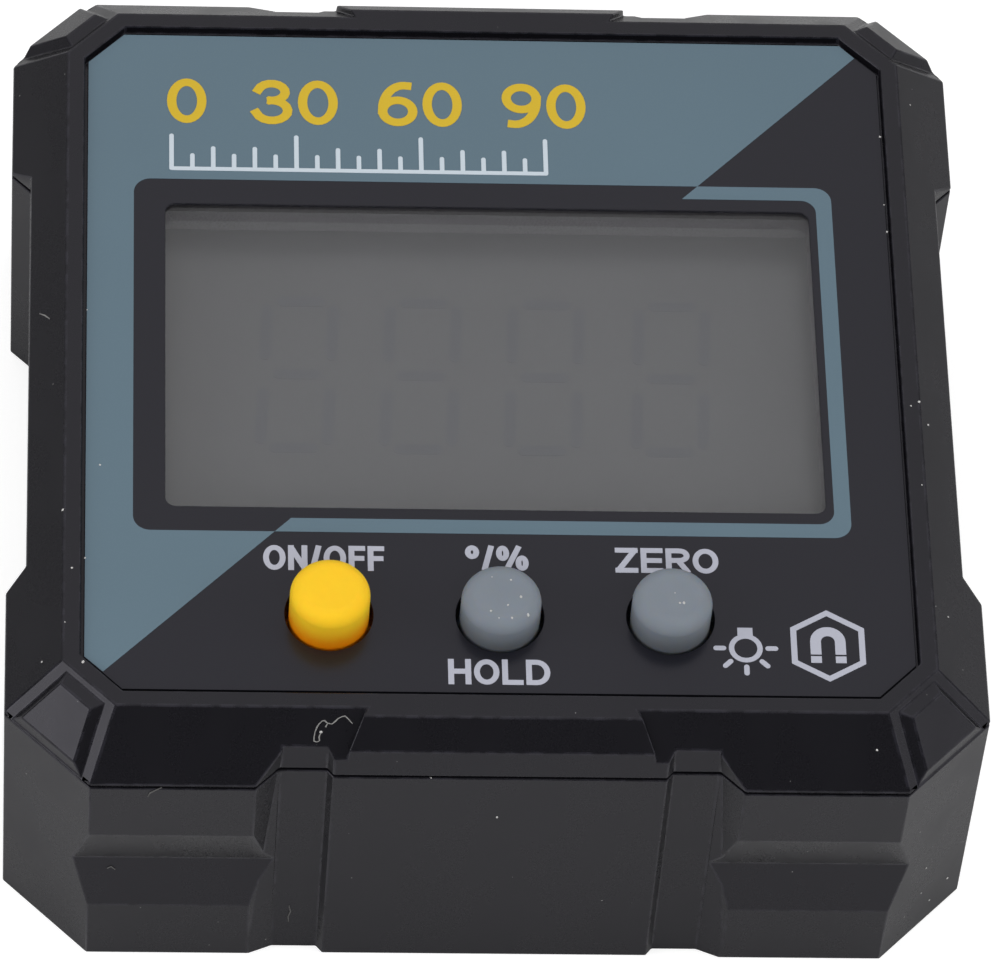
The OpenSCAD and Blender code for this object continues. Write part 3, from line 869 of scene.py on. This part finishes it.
def dust(name, places, carrier, body, slot):
    """Small uneven flakes lying on what the photograph shows them on."""
    look = surface_under(carrier)
    smallest = 0.05
    step = 0.012
    flatness = 0.35
    sunk = 0.25
    spin_step = 2.4
    shape = bmesh.new()
    for i, place in enumerate(places):
        point, normal = look(place)
        size = smallest + step * (i * 7 % 5)
        flake = bmesh.ops.create_icosphere(shape, subdivisions=1, radius=size)
        turn = normal.to_track_quat("Z", "Y").to_matrix().to_4x4()
        squash = Matrix.Diagonal((1 + 0.12 * (i % 4), 1, flatness, 1))
        spin = Matrix.Rotation(i * spin_step, 4, "Z")
        lay = Matrix.Translation(point + normal * sunk * size) @ turn @ spin @ squash
        bmesh.ops.transform(shape, matrix=lay, verts=flake["verts"])
    add_piece(name, shape, dust_white, slot, body)


def fibres(name, paths, finish):
    """Curled fibres and faint scuffs lying on the case."""
    look = surface_under(["front_cover", "rear_case"])
    thick = 0.034
    sides = 6
    shape = bmesh.new()
    for path in paths:
        spots = [look(place) for place in path]
        line = [point + normal * thick for point, normal in spots]
        rings = []
        for i, point in enumerate(line):
            along = (line[min(i + 1, len(line) - 1)] - line[max(i - 1, 0)]).normalized()
            side = along.cross(spots[i][1]).normalized()
            out = side.cross(along)
            radius = thick * (0.85 + 0.3 * (i * 5 % 3))
            turns = [2 * pi * k / sides for k in range(sides)]
            rings.append([shape.verts.new(point + radius * (cos(t) * side + sin(t) * out)) for t in turns])
        for first, second in zip(rings, rings[1:]):
            for k in range(sides):
                j = (k + 1) % sides
                shape.faces.new((first[k], first[j], second[j], second[k]))
        shape.faces.new(rings[0][::-1])
        shape.faces.new(rings[-1])
    add_piece(name, shape, finish, "case_plastic")


dust("dust_case", DUST_ON_CASE, ["front_cover", "rear_case", "face_label"], "case", "case_plastic")
dust("dust_hold", DUST_ON_HOLD, ["hold_button"], "hold_key", "button_grey")
dust("dust_zero", DUST_ON_ZERO, ["zero_button"], "zero_key", "button_grey")
fibres("lint", (LINT, LINT_END, FIBRE), lint_grey)
fibres("scuffs", SCUFFS, scuff_grey)


def make_floor():
    """A plain floor that keeps the gauge's shadow: light grey, and white where the camera sees it."""
    half = 1500
    drop = 0.02
    shape = bmesh.new()
    bmesh.ops.create_grid(shape, x_segments=1, y_segments=1, size=half * MM)
    mesh = bpy.data.meshes.new("floor")
    shape.to_mesh(mesh)
    shape.free()
    floor = bpy.data.objects.new("floor", mesh)
    floor.location.z = -drop * MM
    bpy.context.scene.collection.objects.link(floor)
    finish = Finish("floor_white")
    cloud = finish.noise(60, 2)
    straight = finish.node("LightPath", {}, {}, "Is Camera Ray")
    through = finish.node("LightPath", {}, {}, "Is Transmission Ray")
    seen = straight.math("MAXIMUM", straight, through)
    finish.surface({
        "Base Color": finish.mix(cloud, FLOOR_DARK, FLOOR_LIGHT),
        "Roughness": 0.9,
        "Specular IOR Level": 0.0,
        "Emission Color": finish.mix(seen, BLACK, FLOOR_GLOW),
        "Emission Strength": 1.0,
    })
    mesh.materials.append(finish.material)


def make_lamp(name, at, size, watts, mirrored=False):
    """A soft box aimed at the gauge."""
    data = bpy.data.lights.new(name, "AREA")
    data.shape = "RECTANGLE"
    data.size = size[0]
    data.size_y = size[1]
    data.energy = watts
    lamp = bpy.data.objects.new(name, data)
    lamp.location = at
    lamp.rotation_euler = (-Vector(at)).to_track_quat("-Z", "Y").to_euler()
    lamp.visible_glossy = mirrored
    bpy.context.scene.collection.objects.link(lamp)


def make_world():
    """Soft room light: brightest above and behind the gauge, dim near the horizon, white to the camera."""
    world = bpy.data.worlds.new("studio")
    world.use_nodes = True
    bpy.context.scene.world = world
    tree = world.node_tree
    tree.nodes.clear()
    sky = Finish.__new__(Finish)
    sky.tree = tree
    darkest = 0.06
    rise = 0.62
    place = sky.node("TexCoord", {}, {}, "Generated")
    depth = sky.node("SeparateXYZ", {}, {"Vector": place}, "Y")
    high = sky.node("SeparateXYZ", {}, {"Vector": place}, "Z")
    room = darkest + rise * (0.5 * depth + 0.9 * high).between(0.2, 1.1)
    seen = sky.node("LightPath", {}, {}, "Is Camera Ray")
    room_light = sky.node("Background", {}, {"Color": WHITE, "Strength": room})
    white = sky.node("Background", {}, {"Color": WHITE, "Strength": 1.0})
    both = sky.node("MixShader", {}, {0: seen, 1: room_light, 2: white})
    output = tree.nodes.new("ShaderNodeOutputWorld")
    tree.links.new(both.socket, output.inputs["Surface"])


make_floor()
make_lamp("front_box", (0.0, -0.5, 0.4), (0.5, 0.4), 1.75)
make_lamp("top_box", (0.0, 0.1, 0.6), (0.6, 0.5), 0.66)
make_lamp("left_box", (-0.55, -0.21, 0.3), (0.36, 0.36), 0.85, True)
make_lamp("right_box", (0.59, -0.17, 0.24), (0.36, 0.36), 0.3, True)
make_lamp("left_fill", (-0.6, -0.1, 0.3), (0.4, 0.4), 0.9)
make_lamp("right_fill", (0.6, -0.1, 0.3), (0.4, 0.4), 1.4)
make_world()
bpy.context.scene.view_settings.view_transform = "Standard"
